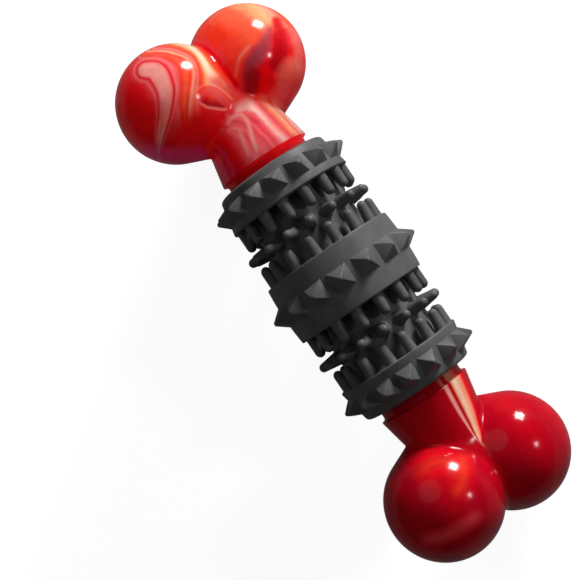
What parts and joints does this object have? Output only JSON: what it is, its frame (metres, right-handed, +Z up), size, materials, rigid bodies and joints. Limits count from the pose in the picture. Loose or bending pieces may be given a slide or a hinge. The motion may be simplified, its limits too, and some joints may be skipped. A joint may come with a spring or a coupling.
{
  "type": "dog chew bone",
  "caption": "Dog chew bone with glossy marbled nylon ends, tapered necks and a black rubber sleeve of spiked bands and round pegs that turns on the shank.",
  "frame": {"origin": "on the floor plane, under the middle of the lying bone", "axes": "+X along the bone's axis towards the socket end, +Z up, the bone lying on one lobe of each end and a spike"},
  "size_m": [0.1888, 0.0622, 0.0533],
  "materials": {
    "swirled_nylon": "polished nylon, red with cream and orange swirls",
    "deep_red_nylon": "polished nylon, deep red with a few light streaks",
    "black_rubber": "matte moulded rubber"
  },
  "bodies": {
    "bone": {"plug_bone_end": "swirled_nylon", "socket_bone_end": "deep_red_nylon"},
    "sleeve": {"chew_sleeve": "black_rubber"}
  },
  "joints": [
    {"name": "sleeve_spin", "type": "hinge", "parent": "bone", "child": "sleeve", "pos_m": [0, 0, 0.02665], "axis": [1, 0, 0], "continuous": true}
  ]
}
